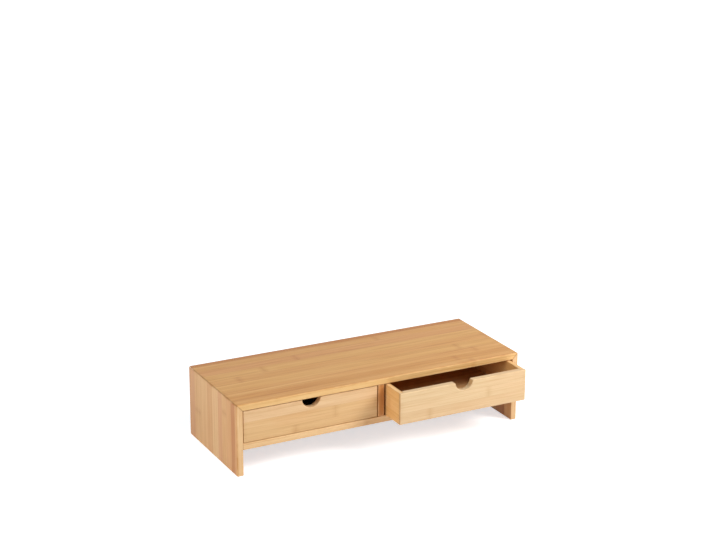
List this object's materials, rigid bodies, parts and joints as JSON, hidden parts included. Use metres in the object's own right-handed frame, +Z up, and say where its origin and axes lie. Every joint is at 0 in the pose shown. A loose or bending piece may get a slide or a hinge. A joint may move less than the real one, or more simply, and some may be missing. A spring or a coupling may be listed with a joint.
{
  "type": "monitor stand",
  "caption": "Desktop monitor stand of laminated bamboo: mitred top on two side panels, with sliding drawers under it and an open keyboard space below.",
  "frame": {"origin": "on the table, under the middle of the whole part as it stands, with its right drawer open", "axes": "+X to the right along the front, +Z up, and -Y out of the front, the way the drawers open"},
  "size_m": [0.48, 0.224, 0.112],
  "materials": {
    "case_bamboo": "satin clear lacquer on laminated bamboo",
    "drawer_front_bamboo": "satin clear lacquer on paler laminated bamboo",
    "drawer_box_bamboo": "satin clear lacquer on laminated bamboo",
    "thin_panel": "plain thin bamboo board",
    "dowel_wood": "bare wood"
  },
  "bodies": {
    "case": {"top_board": "case_bamboo", "left_side_panel": "case_bamboo", "right_side_panel": "case_bamboo", "drawer_shelf": "case_bamboo", "centre_divider": "case_bamboo", "back_panel": "thin_panel", "left_mitre_spline": "dowel_wood", "right_mitre_spline": "dowel_wood", "left_shelf_dowel_1": "dowel_wood", "left_shelf_dowel_2": "dowel_wood", "left_shelf_dowel_3": "dowel_wood", "right_shelf_dowel_1": "dowel_wood", "right_shelf_dowel_2": "dowel_wood", "right_shelf_dowel_3": "dowel_wood", "divider_lower_dowel_1": "dowel_wood", "divider_lower_dowel_2": "dowel_wood", "divider_upper_dowel_1": "dowel_wood", "divider_upper_dowel_2": "dowel_wood"},
    "left_drawer": {"left_drawer_front": "drawer_front_bamboo", "left_drawer_left_side": "drawer_box_bamboo", "left_drawer_right_side": "drawer_box_bamboo", "left_drawer_back": "drawer_box_bamboo", "left_drawer_bottom": "thin_panel", "left_drawer_left_front_pin_1": "dowel_wood", "left_drawer_left_front_pin_2": "dowel_wood", "left_drawer_left_back_pin_1": "dowel_wood", "left_drawer_left_back_pin_2": "dowel_wood", "left_drawer_right_front_pin_1": "dowel_wood", "left_drawer_right_front_pin_2": "dowel_wood", "left_drawer_right_back_pin_1": "dowel_wood", "left_drawer_right_back_pin_2": "dowel_wood"},
    "right_drawer": {"right_drawer_front": "drawer_front_bamboo", "right_drawer_left_side": "drawer_box_bamboo", "right_drawer_right_side": "drawer_box_bamboo", "right_drawer_back": "drawer_box_bamboo", "right_drawer_bottom": "thin_panel", "right_drawer_left_front_pin_1": "dowel_wood", "right_drawer_left_front_pin_2": "dowel_wood", "right_drawer_left_back_pin_1": "dowel_wood", "right_drawer_left_back_pin_2": "dowel_wood", "right_drawer_right_front_pin_1": "dowel_wood", "right_drawer_right_front_pin_2": "dowel_wood", "right_drawer_right_back_pin_1": "dowel_wood", "right_drawer_right_back_pin_2": "dowel_wood"}
  },
  "joints": [
    {"name": "left_drawer_slide", "type": "slide", "parent": "case", "child": "left_drawer", "axis": [0, -1, 0], "range_m": [0, 0.14]},
    {"name": "right_drawer_slide", "type": "slide", "parent": "case", "child": "right_drawer", "axis": [0, -1, 0], "range_m": [-0.045, 0.095]}
  ]
}
